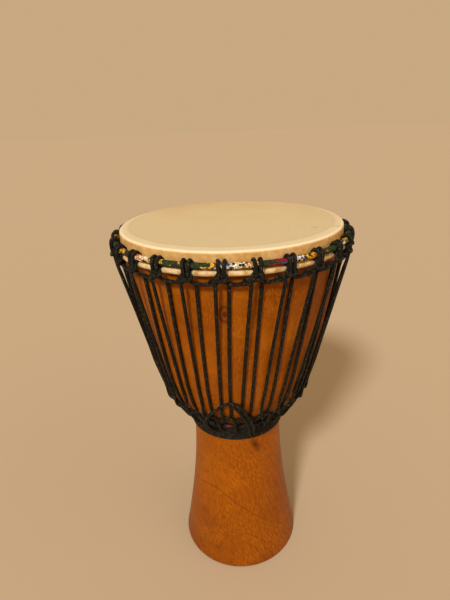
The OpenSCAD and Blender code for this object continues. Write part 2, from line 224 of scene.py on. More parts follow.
# Thin dark growth lines on the foot: level on the left, then falling to the right, one of them bolder
layer_middle = (0.050, 0.028, 0)
layer_step = 0.011
bold_height = 0.182
layer = add(tree, "VectorMath", {0: place, 1: (1, 0, 0)}, operation="MULTIPLY").outputs[0]
layer = add(tree, "VectorMath", {0: layer, 1: layer_middle}, operation="ADD").outputs[0]
layer = add(tree, "VectorMath", {0: layer}, operation="LENGTH").outputs["Value"]
layer = add(tree, "Math", {0: layer, 1: height}, operation="ADD").outputs[0]
layer_wander = add(tree, "TexNoise", {"Vector": place, "Scale": 24.0, "Detail": 3.0}).outputs["Fac"]
layer_wander = add(tree, "MapRange", {"Value": layer_wander, "To Min": -bold_height - 0.006,
                                      "To Max": -bold_height + 0.006}).outputs[0]
layer = add(tree, "Math", {0: layer, 1: layer_wander}, operation="ADD").outputs[0]
bold = add(tree, "Math", {0: layer}, operation="ABSOLUTE").outputs[0]
bold = add(tree, "MapRange", {"Value": bold, "From Min": 0.0013, "From Max": 0.0002,
                              "To Max": 0.8}).outputs[0]
to_right = add(tree, "SeparateXYZ", {0: place}).outputs["X"]
fade = add(tree, "MapRange", {"Value": to_right, "From Min": 0.0, "From Max": 0.05, "To Min": 1.0,
                              "To Max": 0.3}).outputs[0]
bold = add(tree, "Math", {0: bold, 1: fade}, operation="MULTIPLY").outputs[0]
faint = add(tree, "Math", {0: layer, 1: layer_step}, operation="PINGPONG").outputs[0]
faint = add(tree, "MapRange", {"Value": faint, "From Min": 0.0026, "From Max": 0.0,
                               "To Max": 0.28}).outputs[0]
patchy = add(tree, "MapRange", {"Value": clouds, "From Min": 0.46, "From Max": 0.62}).outputs[0]
faint = add(tree, "Math", {0: faint, 1: patchy}, operation="MULTIPLY").outputs[0]
lines = add(tree, "Math", {0: bold, 1: faint}, operation="MAXIMUM").outputs[0]
lines = add(tree, "Math", {0: lines, 1: on_foot}, operation="MULTIPLY").outputs[0]
base = add(tree, "MixRGB", {"Fac": lines, "Color1": base, "Color2": srgb("5E2602")}).outputs[0]
# A short dark streak just under the windings, at the front on the right
streak_place = (0.0285, -0.0685, 0.243)
streak = add(tree, "VectorMath", {0: place, 1: streak_place}, operation="SUBTRACT").outputs[0]
streak = add(tree, "Mapping", {"Vector": streak, "Rotation": (0, math.radians(-26), 0),
                               "Scale": (1.3, 1.7, 3.8)}, vector_type="TEXTURE").outputs[0]
streak = add(tree, "VectorMath", {0: streak}, operation="LENGTH").outputs["Value"]
streak = add(tree, "MapRange", {"Value": streak, "From Min": 0.0065, "From Max": 0.0010,
                                "To Max": 0.75}).outputs[0]
base = add(tree, "MixRGB", {"Fac": streak, "Color1": base, "Color2": srgb("3E1A04")}).outputs[0]
# The knot has rings of its own, 6 mm apart
knot_rings = add(tree, "Math", {0: knot_distance, 1: 1100.0}, operation="MULTIPLY").outputs[0]
knot_rings = add(tree, "Math", {0: knot_rings}, operation="SINE").outputs[0]
knot_tone = add(tree, "MapRange", {"Value": knot_rings, "From Min": -1.0, "To Min": 0.25,
                                   "To Max": 0.95}).outputs[0]
knot_tone = add(tree, "Math", {0: knot_tone, 1: knot}, operation="MULTIPLY").outputs[0]
base = add(tree, "MixRGB", {"Fac": knot_tone, "Color1": base, "Color2": srgb("522006")}).outputs[0]
grain_bump = add(tree, "Bump", {"Height": fibre, "Strength": 0.25, "Distance": 0.0004}).outputs[0]
# Shallow hollows that sanding left, some 35 mm across
carving = add(tree, "TexNoise", {"Vector": place, "Scale": 28.0, "Detail": 1.0}).outputs["Fac"]
grain_bump = add(tree, "Bump", {"Height": carving, "Strength": 0.35, "Distance": 0.0015,
                                "Normal": grain_bump}).outputs[0]
sheen = add(tree, "MapRange", {"Value": clouds, "To Min": 0.36, "To Max": 0.52}).outputs[0]
wood_shader = add(tree, "BsdfPrincipled", {"Base Color": base, "Roughness": sheen, "IOR": 1.5,
                                           "Specular IOR Level": 0.13, "Coat Weight": 0.03,
                                           "Coat Roughness": 0.3, "Normal": grain_bump})
add(tree, "OutputMaterial", {"Surface": wood_shader.outputs[0]})

# The same wood inside, left raw from the carving tools: paler, matt and ribbed by the blade.
raw_wood, tree = new_material("raw_hardwood_carved")
place = add(tree, "TexCoord").outputs["Object"]
fibre_place = add(tree, "Mapping", {"Vector": place, "Scale": (420, 420, 20)}).outputs[0]
fibre = add(tree, "TexNoise", {"Vector": fibre_place, "Scale": 1.0, "Detail": 3.0}).outputs["Fac"]
tone = add(tree, "ValToRGB", {"Fac": fibre}, stops=[(0.25, "7A4A22"), (0.55, "9A6434"),
                                                    (0.8, "AE7C48")]).outputs[0]
# Gouge marks 12 mm apart
gouges = add(tree, "TexWave", {"Vector": place, "Scale": 26.0, "Distortion": 4.0, "Detail": 2.0},
             wave_type="BANDS", bands_direction="Z").outputs["Fac"]
gouge_bump = add(tree, "Bump", {"Height": gouges, "Strength": 0.6, "Distance": 0.0012}).outputs[0]
raw_shader = add(tree, "BsdfPrincipled", {"Base Color": tone, "Roughness": 0.8, "Normal": gouge_bump})
add(tree, "OutputMaterial", {"Surface": raw_shader.outputs[0]})

bm = turned(foot_edge + outside[1:] + bearing_edge + inside, closed=True)
for face in bm.faces:
    centre = face.calc_center_median()
    if face.normal.x * centre.x + face.normal.y * centre.y < 0:
        face.material_index = 1
finished("carved_shell", bm, [stained_wood, raw_wood], "shell_wood", "shell")


# ---- Drum head ----
# One shaved goatskin, soaked and pulled over the rim while wet: stretched flat across the bowl, down the
# outside of the rim and up round the flesh ring, where its trimmed edge ends behind the crown ring.
fit = 0.15
wrap_fit = 0.05
rod_r = 3
cloth_t = 0.9
wrapped_r = rod_r + wrap_fit + cloth_t
folded_r = rod_r + wrap_fit + skin_t
pressed_t = 2.4
crown_drop = 15
crown = Vector((head_r + pressed_t + 2 * fit + wrapped_r, drum_h - crown_drop))
flesh_r = head_r + wrap_fit + rod_r
ring_step = wrapped_r + folded_r + pressed_t + 2 * fit
flesh = Vector((flesh_r, crown.y - math.sqrt(ring_step ** 2 - (crown.x - flesh_r) ** 2)))

goatskin, tree = new_material("shaved_goatskin")
place = add(tree, "TexCoord").outputs["Object"]
parts = add(tree, "SeparateXYZ", {0: place})
flat_place = add(tree, "VectorMath", {0: place, 1: (1, 1, 0)}, operation="MULTIPLY").outputs[0]
out = add(tree, "VectorMath", {0: flat_place}, operation="LENGTH").outputs["Value"]
ripple = add(tree, "TexNoise", {"Vector": place, "Scale": 35.0, "Detail": 2.0}).outputs["Fac"]
ripple = add(tree, "MapRange", {"Value": ripple, "To Min": -0.0025, "To Max": 0.0025}).outputs[0]
out_uneven = add(tree, "Math", {0: out, 1: ripple}, operation="ADD").outputs[0]
out_share = add(tree, "MapRange", {"Value": out_uneven, "From Min": 0.1, "From Max": 0.17}).outputs[0]
# From the playing surface (left) to the rim: cream, then paler into a painted highlight, a bright line on the
# edge of the wood
top_tone = add(tree, "ValToRGB", {"Fac": out_share}, stops=[(0.0, "CDBF9C"), (0.80, "CDC09E"),
                                                            (0.83, "DACDAE"), (0.86, "EEE4CA"),
                                                            (0.885, "E2CFA6")]).outputs[0]
# The band that rests on the wood is paler, and at the front it widens into a painted reflection of the light
# in front
ridge_middle = (0, 0.008, 0)
ridge_r = 0.149
ridge = add(tree, "VectorMath", {0: flat_place, 1: ridge_middle}, operation="SUBTRACT").outputs[0]
ridge = add(tree, "VectorMath", {0: ridge}, operation="LENGTH").outputs["Value"]
ridge = add(tree, "Math", {0: ridge, 1: ripple}, operation="ADD").outputs[0]
paler_band_and_reflection = add(tree, "MapRange", {"Value": ridge, "From Min": ridge_r, "From Max": ridge_r + 0.006,
                                 "To Max": 0.55}).outputs[0]
ridge = add(tree, "Math", {0: ridge, 1: ridge_r}, operation="SUBTRACT").outputs[0]
ridge = add(tree, "Math", {0: ridge}, operation="ABSOLUTE").outputs[0]
ridge = add(tree, "MapRange", {"Value": ridge, "From Min": 0.004, "From Max": 0.0, "To Max": 0.2},
            interpolation_type="SMOOTHSTEP").outputs[0]
# The paler band, widened at the front by a painted reflection
top_tone = add(tree, "MixRGB", {"Fac": paler_band_and_reflection, "Color1": top_tone, "Color2": srgb("E4DABC")}).outputs[0]
top_tone = add(tree, "MixRGB", {"Fac": ridge, "Color1": top_tone, "Color2": srgb("B7A67C")}).outputs[0]
# The playing surface is a little browner in soft patches towards the back
clouds = add(tree, "TexNoise", {"Vector": place, "Scale": 9.0, "Detail": 3.0,
                                "Roughness": 0.5}).outputs["Fac"]
to_back = add(tree, "MapRange", {"Value": parts.outputs["Y"], "From Min": -0.04, "From Max": 0.12},
              interpolation_type="SMOOTHSTEP").outputs[0]
warm = add(tree, "MapRange", {"Value": clouds, "From Min": 0.35, "From Max": 0.65}).outputs[0]
warm = add(tree, "Math", {0: warm, 1: to_back}, operation="MULTIPLY").outputs[0]
warm = add(tree, "Math", {0: warm, 1: 0.55}, operation="MULTIPLY").outputs[0]
top_tone = add(tree, "MixRGB", {"Fac": warm, "Color1": top_tone, "Color2": srgb("C2A372")}).outputs[0]
# The side of the rim is golden, and the fold round the flesh ring is mottled cream and gold
rim_height = drum_h * MM
mottle = add(tree, "TexNoise", {"Vector": place, "Scale": 120.0, "Detail": 3.0,
                                "Roughness": 0.6}).outputs["Fac"]
side_tone = add(tree, "ValToRGB", {"Fac": mottle}, stops=[(0.3, "B88D4A"), (0.5, "C9A164"),
                                                          (0.7, "D4B27C")]).outputs[0]
fold_tone = add(tree, "ValToRGB", {"Fac": mottle}, stops=[(0.32, "A87F4A"), (0.48, "C8A872"),
                                                          (0.62, "DCC8A0")]).outputs[0]
on_fold = add(tree, "MapRange", {"Value": parts.outputs["Z"], "From Min": rim_height - 0.018,
                                 "From Max": rim_height - 0.022}).outputs[0]
side_tone = add(tree, "MixRGB", {"Fac": on_fold, "Color1": side_tone, "Color2": fold_tone}).outputs[0]
on_side = add(tree, "MapRange", {"Value": parts.outputs["Z"], "From Min": rim_height - 0.001,
                                 "From Max": rim_height - 0.0028}).outputs[0]
skin_tone = add(tree, "MixRGB", {"Fac": on_side, "Color1": top_tone, "Color2": side_tone}).outputs[0]
# Hair follicles in patches: brown dots 1 mm wide and 3 mm apart, larger than real ones, so that they show
dots = add(tree, "TexVoronoi", {"Vector": place, "Scale": 330.0}, feature="F1").outputs["Distance"]
dots = add(tree, "MapRange", {"Value": dots, "From Min": 0.30, "From Max": 0.14}).outputs[0]
patches = add(tree, "MapRange", {"Value": clouds, "From Min": 0.42, "From Max": 0.62,
                                 "To Max": 0.30}).outputs[0]
dots = add(tree, "Math", {0: dots, 1: patches}, operation="MULTIPLY").outputs[0]
skin_tone = add(tree, "MixRGB", {"Fac": dots, "Color1": skin_tone, "Color2": srgb("8A5A2A")}).outputs[0]
# Two small marks, such as a natural skin has: one on the playing surface and one at the rim
for x, y, size, depth in ((0.113, -0.060, 0.0045, 0.6), (0.1445, -0.0585, 0.010, 0.30)):
    gap = add(tree, "VectorMath", {0: place, 1: (x, y, rim_height)}, operation="SUBTRACT").outputs[0]
    gap = add(tree, "VectorMath", {0: gap, 1: (0.7, 1.6, 1)}, operation="MULTIPLY").outputs[0]
    gap = add(tree, "VectorMath", {0: gap}, operation="LENGTH").outputs["Value"]
    mark = add(tree, "MapRange", {"Value": gap, "From Min": size, "From Max": 0.0,
                                  "To Max": depth}).outputs[0]
    skin_tone = add(tree, "MixRGB", {"Fac": mark, "Color1": skin_tone, "Color2": srgb("7A4A1E")}).outputs[0]
wrinkles = add(tree, "TexNoise", {"Vector": place, "Scale": 60.0, "Detail": 4.0,
                                  "Roughness": 0.6}).outputs["Fac"]
skin_bump = add(tree, "Bump", {"Height": wrinkles, "Strength": 0.35, "Distance": 0.0012}).outputs[0]
skin_bump = add(tree, "Bump", {"Height": mottle, "Strength": 0.3, "Distance": 0.0004,
                               "Normal": skin_bump}).outputs[0]
skin_shader = add(tree, "BsdfPrincipled", {"Base Color": skin_tone, "Roughness": 0.55, "IOR": 1.45,
                                           "Subsurface Weight": 0.08,
                                           "Subsurface Radius": (0.004, 0.002, 0.001), "Normal": skin_bump})
add(tree, "OutputMaterial", {"Surface": skin_shader.outputs[0]})

rim_centre = (head_r - skin_t - edge_round, drum_h - skin_t - edge_round)
across = [Vector((r, 0)) for r in (0, 40, 80, 110, 125, 135, 145, 152, 156)]
skin_outside = [p + Vector((0, drum_h)) for p in across]
skin_outside += arc(rim_centre, edge_round + skin_t, 90, 0, 10)
skin_outside += arc(flesh, rod_r + wrap_fit, 180, 460, 32)
skin_inside = [p + Vector((0, drum_h - skin_t)) for p in across]
skin_inside += arc(rim_centre, edge_round, 90, 0, 10)
skin_inside += arc(flesh, folded_r, 180, 460, 32)
skin = finished("goatskin_head", turned(skin_outside + skin_inside[::-1], closed=False), [goatskin],
                "goatskin", "drum_head")


# ---- Steel rings ----
# Three rings bent from plain round bar and welded: the flesh ring inside the fold of the skin, and the
# crown ring and the neck ring, each inside its cloth. Hardly any of the steel shows.
round_bar, tree = new_material("mild_steel_bar_dull")
place = add(tree, "TexCoord").outputs["Object"]
scale = add(tree, "TexNoise", {"Vector": place, "Scale": 180.0, "Detail": 3.0}).outputs["Fac"]
tone = add(tree, "ValToRGB", {"Fac": scale}, stops=[(0.3, "6B675F"), (0.7, "9A978F")]).outputs[0]
wear = add(tree, "MapRange", {"Value": scale, "To Min": 0.3, "To Max": 0.55}).outputs[0]
bar_shader = add(tree, "BsdfPrincipled", {"Base Color": tone, "Metallic": 1.0, "Roughness": wear})
add(tree, "OutputMaterial", {"Surface": bar_shader.outputs[0]})
for name in ("flesh_ring", "crown_ring", "neck_ring"):
    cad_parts[name].material_slots[0].material = round_bar


# ---- Cloth on the crown ring and the neck ring ----
# A strip of printed cotton about 28 mm wide, wound round each ring with every turn half over the last, so
# that a slanting edge shows every 14 mm. Wax print: bright motifs on dark green and black.
def wound_strip(name, centre, turns, material, slot, replaced, along=1080, around=20):
    """A cloth strip wound round a ring: a tube round the ring with a step at each edge of the strip."""
    sunk = 0.22
    lap = 0.40
    wrinkle = 0.05
    bm = bmesh.new()
    uv = bm.loops.layers.uv.new("UVMap")
    bmesh.ops.create_grid(bm, x_segments=along, y_segments=around, size=0.5, calc_uvs=True)
    for face in bm.faces:
        for loop in face.loops:
            loop[uv].uv = (loop.vert.co.x + 0.5, loop.vert.co.y + 0.5)
    for vert in bm.verts:
        way = vert.co.x + 0.5
        turn = vert.co.y + 0.5
        azimuth = math.tau * (way - 0.5)
        section = math.tau * turn
        edge = (way * turns + turn) % 1
        radius = wrapped_r - sunk + lap * (1 - edge) ** 1.5 + wrinkle * math.sin(way * turns * 9.4 + section)
        reach = centre.x + radius * math.cos(section)
        vert.co = (reach * MM * math.cos(azimuth), reach * MM * math.sin(azimuth),
                   (centre.y + radius * math.sin(section)) * MM)
    bmesh.ops.remove_doubles(bm, verts=bm.verts, dist=1e-6)
    bmesh.ops.recalc_face_normals(bm, faces=bm.faces)
    return finished(name, bm, [material], slot, replaced)


def printed_cotton(name, grounds, motifs, cell, scraps=()):
    """Printed cotton. grounds and motifs list the colours along the ring by direction, in degrees. scraps
    lists the small patches of colour: from and to in degrees, from and to round the section, colour."""
    material, tree = new_material(name)
    where = add(tree, "UVMap", uv_map="UVMap").outputs[0]
    # The print in millimetres, as it lies on the crown ring: 1080 mm along the ring and 25 mm round it
    print_place = add(tree, "Mapping", {"Vector": where, "Scale": (1080, 25, 1)}).outputs[0]
    uneven = add(tree, "TexNoise", {"Vector": print_place, "Scale": 0.22, "Detail": 2.0},
                 noise_dimensions="2D").outputs["Fac"]
    uneven = add(tree, "MapRange", {"Value": uneven, "To Min": -0.006, "To Max": 0.006}).outputs[0]
    along = add(tree, "SeparateXYZ", {0: where})
    slant = add(tree, "Math", {0: along.outputs["Y"], 1: 0.012}, operation="MULTIPLY").outputs[0]
    along_ring = add(tree, "Math", {0: along.outputs["X"], 1: uneven}, operation="ADD").outputs[0]
    along_ring = add(tree, "Math", {0: along_ring, 1: slant}, operation="ADD").outputs[0]
    ground = add(tree, "ValToRGB", {"Fac": along_ring}, stops=[((a + 180) / 360, c) for a, c in grounds])
    ground.color_ramp.interpolation = "CONSTANT"
    motif = add(tree, "ValToRGB", {"Fac": along_ring}, stops=[((a + 180) / 360, c) for a, c in motifs])
    motif.color_ramp.interpolation = "CONSTANT"
    shapes = add(tree, "TexVoronoi", {"Vector": print_place, "Scale": 1 / cell}, feature="F1",
                 voronoi_dimensions="2D").outputs["Distance"]
    shapes = add(tree, "Math", {0: shapes, 1: 0.42}, operation="LESS_THAN").outputs[0]
    rings = add(tree, "TexVoronoi", {"Vector": print_place, "Scale": 0.8 / cell}, feature="DISTANCE_TO_EDGE",
                voronoi_dimensions="2D").outputs["Distance"]
    rings = add(tree, "Math", {0: rings, 1: 0.06}, operation="LESS_THAN").outputs[0]
    print_tone = add(tree, "MixRGB", {"Fac": shapes, "Color1": ground.outputs[0],
                                      "Color2": motif.outputs[0]}).outputs[0]
    outline_share = add(tree, "Math", {0: rings, 1: 0.8}, operation="MULTIPLY").outputs[0]
    print_tone = add(tree, "MixRGB", {"Fac": outline_share, "Color1": print_tone,
                                      "Color2": srgb("12140E")}).outputs[0]
    for start, end, low, high, colour in scraps:
        shows = add(tree, "Math", {0: along_ring, 1: (start + 180) / 360},
                    operation="GREATER_THAN").outputs[0]
        for value, limit, side in ((along_ring, (end + 180) / 360, "LESS_THAN"),
                                   (along.outputs["Y"], low, "GREATER_THAN"), (along.outputs["Y"], high,
                                                                               "LESS_THAN")):
            within = add(tree, "Math", {0: value, 1: limit}, operation=side).outputs[0]
            shows = add(tree, "Math", {0: shows, 1: within}, operation="MULTIPLY").outputs[0]
        print_tone = add(tree, "MixRGB", {"Fac": shows, "Color1": print_tone,
                                          "Color2": srgb(colour)}).outputs[0]
    # Threads 0.6 mm apart on the slant, drawn coarser than real ones
    threads = add(tree, "TexWave", {"Vector": print_place, "Scale": 0.7},
                  bands_direction="DIAGONAL").outputs["Fac"]
    cloth_bump = add(tree, "Bump", {"Height": threads, "Strength": 0.2, "Distance": 0.0002}).outputs[0]
    shader = add(tree, "BsdfPrincipled", {"Base Color": print_tone, "Roughness": 0.82,
                                          "Specular IOR Level": 0.3, "Normal": cloth_bump})
    add(tree, "OutputMaterial", {"Surface": shader.outputs[0]})
    return material


leaf_green = "1D2A18"
night_black = "15170F"
crown_grounds = [
    (-180, leaf_green), (-151, "5A2348"), (-146, "B58A20"), (-143, night_black), (-137, "8E2040"),
    (-135, "C4601C"), (-129, "D8C8A0"), (-126, night_black), (-121.5, "C9A020"), (-119.5, leaf_green),
    (-112, "B8901C"), (-110, leaf_green), (-99, "8A3A18"), (-95, "2A4F86"), (-90.5, "E4DCC8"),
    (-85, "8E2A1C"), (-83, "A87A24"), (-79.5, leaf_green), (-72, "8C1430"), (-66.5, night_black),
    (-64, "C8CCD4"), (-61.5, "D8AE1C"), (-55.5, "CC5E1A"), (-52, leaf_green), (-36, "D8D0BC"),
    (-31, "C8A020"), (-25, leaf_green), (20, "B8501A"), (34, leaf_green), (84, "D8D0BC"), (92, leaf_green),
    (150, "8C1430")]
crown_motifs = [
    (-180, "B8901C"), (-170, "24381E"), (-151, "C8A024"), (-143, "2A3320"), (-135, "E2D4B4"),
    (-126, "C8A024"), (-119.5, "263A1F"), (-99, "E2BC22"), (-95, "C8CCD4"), (-90.5, "16160F"),
    (-85, "DCCCA8"), (-79.5, "263A1F"), (-72, "6A1028"), (-66.5, "2F5C92"), (-61.5, "181608"),
    (-55.5, "D89A24"), (-52, "2A3E20"), (-49, "C86018"), (-46.5, "263A1F"), (-36, "2A2A22"),
    (-31, "26200C"), (-25, "263A1F"), (10, "C8A024"), (24, "E2D4B4"), (34, "263A1F"), (70, "A01C34"),
    (84, "1C1A12"), (92, "263A1F"), (120, "C8A024"), (130, "263A1F"), (150, "D8A81C"), (165, "2F5C92")]
crown_cloth = printed_cotton("wax_print_cotton_bright", crown_grounds, crown_motifs, 4.5)
wound_strip("crown_ring_wrap", crown, 76, crown_cloth, "wrap_cloth", "crown_ring_cloth")

neck_ring_rise = 38
outline_heights = [(p.y, p.x) for p in [Vector((foot_r, 0))] + stem + throat + shoulder_side + bowl_side]


def outside_r(z):
    """Radius of the shell's outside at a height, in mm."""
    for (low, a), (high, b) in zip(outline_heights, outline_heights[1:]):
        if z <= high:
            return a + (b - a) * max(0, z - low) / (high - low)
    return outline_heights[-1][1]


def off_wood(z, distance):
    """(radius, height) of a point at that distance out from the wood, square to its surface."""
    slope = (outside_r(z + 3) - outside_r(z - 3)) / 6
    return Vector((outside_r(z), z)) + distance * Vector((1, -slope)) / math.sqrt(1 + slope * slope)


neck_contact = off_wood(neck.y + neck_ring_rise, 0)
neck_ring_c = off_wood(neck.y + neck_ring_rise, wrapped_r + pressed_t + 3 * fit)
neck_cloth = printed_cotton(
    "wax_print_cotton_dark", [(-180, night_black), (-140, "191F14"), (-120, night_black), (0, "191F14"),
                              (70, night_black), (140, "191F14")],
    [(-180, "1C2317"), (-120, "191D14"), (70, "1C2317")], 5,
    [(-100.5, -96.5, 0.06, 0.15, "8C1428"), (-68, -46, 0.865, 0.905, "A83A28"),
     (64, 72, 0.02, 0.12, "8C1428"),
     (118, 131, 0.85, 0.92, "B0681C")])
wound_strip("neck_ring_wrap", neck_ring_c, 38, neck_cloth, "wrap_cloth", "neck_ring_cloth", along=640)


# ---- Top loops ----
# One braided polyester cord 4.8 mm thick, tied to the crown ring with a cow hitch for every loop. Each hitch
# passes over both rings, is squeezed flat between them, and hangs a level loop under the flesh ring.
cord_r = 2.4
cord_step = 2 * cord_r + fit
knots = 26
first_knot = -94.2
knot_step = 360 / knots
back_knot = knots // 2
top_pair = 15.2
top_loop_drop = 12.5
bend = 60
flat = 1 - pressed_t / (2 * cord_r)
free = Vector((0, 0, 0))


def knot_az(k):
    """Direction of a knot of the top loops, in degrees."""
    return first_knot + k * knot_step


def at(azimuth, place, sideways=0):
    """Point at a direction in degrees and a (radius, height) in mm, moved sideways along the circle."""
    a = math.radians(azimuth) + sideways / place[0]
    return Vector((place[0] * math.cos(a), place[0] * math.sin(a), place[1]))


def toward(azimuth, direction):
    """Direction (outwards, up) in the upright plane at an azimuth."""
    a = math.radians(azimuth)
    return Vector((direction[0] * math.cos(a), direction[0] * math.sin(a), direction[1]))


def round_ring(azimuth, ring, sideways, angle, pressed):
    """Where a cord bends round a wrapped ring: the point, and how it is squeezed there."""
    way = Vector((math.cos(math.radians(angle)), math.sin(math.radians(angle))))
    reach = (wrapped_r + fit + (pressed_t / 2 if pressed else cord_r)) / math.cos(math.radians(bend / 2))
    return at(azimuth, ring + reach * way, sideways), toward(azimuth, way) * flat if pressed else free


def softened(route, spacing, cut=9):
    """Rounds the corners of a route of (point, squeeze) and sets points along it, spacing mm apart."""
    fine = [route[0]]
    for before, here, after in zip(route, route[1:], route[2:]):
        back = min(0.5, cut / max((before[0] - here[0]).length, 0.01))
        on = min(0.5, cut / max((after[0] - here[0]).length, 0.01))
        a = [here[i].lerp(before[i], back) for i in (0, 1)]
        b = [here[i].lerp(after[i], on) for i in (0, 1)]
        steps = max(2, math.ceil((a[0] - b[0]).length / spacing * 2))
        for s in range(steps + 1):
            t = s / steps
            fine.append(tuple((1 - t) ** 2 * a[i] + 2 * t * (1 - t) * here[i] + t * t * b[i] for i in (0, 1)))
    fine.append(route[-1])
    even = [fine[0]]
    left = spacing
    for (p, q), (next_p, next_q) in zip(fine, fine[1:]):
        length = (next_p - p).length
        done = 0
        while length - done > left:
            done += left
            left = spacing
            share = done / length
            even.append((p.lerp(next_p, share), q.lerp(next_q, share)))
        left -= length - done
    even.append(fine[-1])
    return even


def braided(name, route, spacing, material, replaced, sides=12):
    """A cord along a route in mm, squeezed where the route says, with both ends melted round."""
    route = softened(route, spacing)
    points = [p for p, q in route]
    rings = len(points)
    ways = [(points[min(i + 1, rings - 1)] - points[max(i - 1, 0)]).normalized() for i in range(rings)]
    travelled = [0.0]
    for p, q in zip(points, points[1:]):
        travelled.append(travelled[-1] + (q - p).length)
    bm = bmesh.new()
    uv = bm.loops.layers.uv.new("UVMap")
    bmesh.ops.create_grid(bm, x_segments=sides, y_segments=rings - 1, size=0.5, calc_uvs=True)
    places = {}
    for vert in bm.verts:
        places[vert] = (round((vert.co.x + 0.5) * sides), round((vert.co.y + 0.5) * (rings - 1)))
    for face in bm.faces:
        for loop in face.loops:
            side, i = places[loop.vert]
            loop[uv].uv = (side / sides, travelled[i] * MM)
    normal = (Vector((0.31, 0.43, 0.85)) - ways[0] * ways[0].dot(Vector((0.31, 0.43, 0.85)))).normalized()
    frames = []
    for i in range(rings):
        normal = (normal - ways[i] * ways[i].dot(normal)).normalized()
        frames.append((normal.copy(), ways[i].cross(normal)))
    for vert, (side, i) in places.items():
        angle = math.tau * side / sides
        from_end = min(travelled[i], travelled[-1] - travelled[i])
        radius = cord_r * math.sqrt(max(0.02, 1 - max(0, 1 - from_end / cord_r) ** 2))
        spoke = radius * (math.cos(angle) * frames[i][0] + math.sin(angle) * frames[i][1])
        squeeze = route[i][1]
        if squeeze.length > 1e-4:
            spoke = spoke - squeeze * spoke.dot(squeeze) / squeeze.length
        vert.co = (points[i] + spoke) * MM
    bmesh.ops.remove_doubles(bm, verts=bm.verts, dist=2e-6)
    bmesh.ops.holes_fill(bm, edges=bm.edges, sides=0)
    bmesh.ops.recalc_face_normals(bm, faces=bm.faces)
    return finished(name, bm, [material], "cord", replaced)


# Braided polyester cord, near black with a few dark green and brown yarns: matt with a faint glint, with
# painted highlights on the crowns of the braid and painted shade between its strands. Strands 2 mm wide,
# drawn wider than the real 1.2 mm, so that they show.
braid, tree = new_material("braided_polyester_cord_black")
where = add(tree, "UVMap", uv_map="UVMap").outputs[0]
parts = add(tree, "SeparateXYZ", {0: where})
around = add(tree, "Math", {0: parts.outputs["X"], 1: 6.0}, operation="MULTIPLY").outputs[0]
# Each strand goes round once in 20 mm
along = add(tree, "Math", {0: parts.outputs["Y"], 1: 300.0}, operation="MULTIPLY").outputs[0]
right_lay = add(tree, "Math", {0: along, 1: around}, operation="ADD").outputs[0]
left_lay = add(tree, "Math", {0: along, 1: around}, operation="SUBTRACT").outputs[0]
crowns = []
for lay in (right_lay, left_lay):
    wave = add(tree, "Math", {0: lay, 1: math.pi}, operation="MULTIPLY").outputs[0]
    crowns.append(add(tree, "Math", {0: wave}, operation="SINE").outputs[0])
plait = add(tree, "Math", {0: crowns[0], 1: crowns[1]}, operation="MULTIPLY").outputs[0]
plait = add(tree, "MapRange", {"Value": plait, "From Min": -1.0, "To Min": 0.0}).outputs[0]
yarn_place = add(tree, "Mapping", {"Vector": where, "Scale": (5, 260, 1)}).outputs[0]
yarns = add(tree, "TexNoise", {"Vector": yarn_place, "Scale": 1.0, "Detail": 2.0},
            noise_dimensions="2D").outputs["Fac"]
# Yarn colours, the lightest tones being painted highlights
yarn_and_glint_tone = add(tree, "ValToRGB", {"Fac": yarns}, stops=[(0.36, "0D0D08"), (0.54, "17170F"), (0.64, "343425"),
                                                         (0.72, "57503C")]).outputs[0]
# Painted shade, near black, in the hollows of the braid, and the yarn colours with painted highlights on its
# crowns
cord_tone = add(tree, "MixRGB", {"Fac": plait, "Color1": srgb("080805"), "Color2": yarn_and_glint_tone}).outputs[0]
braid_bump = add(tree, "Bump", {"Height": plait, "Strength": 0.9, "Distance": 0.0009}).outputs[0]
cord_shader = add(tree, "BsdfPrincipled", {"Base Color": cord_tone, "Roughness": 0.7, "IOR": 1.5,
                                           "Specular IOR Level": 0.22, "Normal": braid_bump})
add(tree, "OutputMaterial", {"Surface": cord_shader.outputs[0]})

top_loop = Vector((flesh.x + folded_r + 0.4, flesh.y - top_loop_drop))
knot_front = crown.x + wrapped_r + fit + cord_r
knot_back = flesh.x + folded_r + 12 * fit + pressed_t / 2
knot_foot = flesh.y - folded_r - 2.4


def half_hitch(azimuth, side):
    """One half of a cow hitch, from the loop up over the crown ring and down to the crossing band."""
    over = [(1.2, bend / 2, False), (1.6, 1.5 * bend, False), (1.6, 2.5 * bend, True),
            (1.4, 3.5 * bend, True), (0.8, 4.5 * bend, True)]
    return [
        (at(azimuth, top_loop, side * top_pair / 2), free),
        (at(azimuth, (top_loop.x + 1.9, knot_foot - 0.5), side * (cord_r + fit)), free),
        (at(azimuth, (knot_front, flesh.y), side * (cord_r + fit)), free),
        *[round_ring(azimuth, crown, side * (cord_r + out), angle, pressed) for out, angle, pressed in over],
        (at(azimuth, (knot_back, flesh.y + 2.8), side * (cord_r + fit)), toward(azimuth, (flat, 0))),
        (at(azimuth, (knot_back + 1.2, knot_foot + 3.6), side * (cord_r + 4.9)), free),
        (at(azimuth, (top_loop.x + 7.1, knot_foot + 0.2), side * (cord_r + 1.9)), toward(azimuth, (0.15, 0)))]


hitches = [(at(knot_az(back_knot), top_loop, top_pair / 2 + fit), free)]
for k in range(1, knots + 1):
    azimuth = knot_az(back_knot + k)
    hitches += half_hitch(azimuth, -1) + half_hitch(azimuth, 1)[::-1]
braided("top_loops", hitches, 1.3, braid, "top_loop_cord")


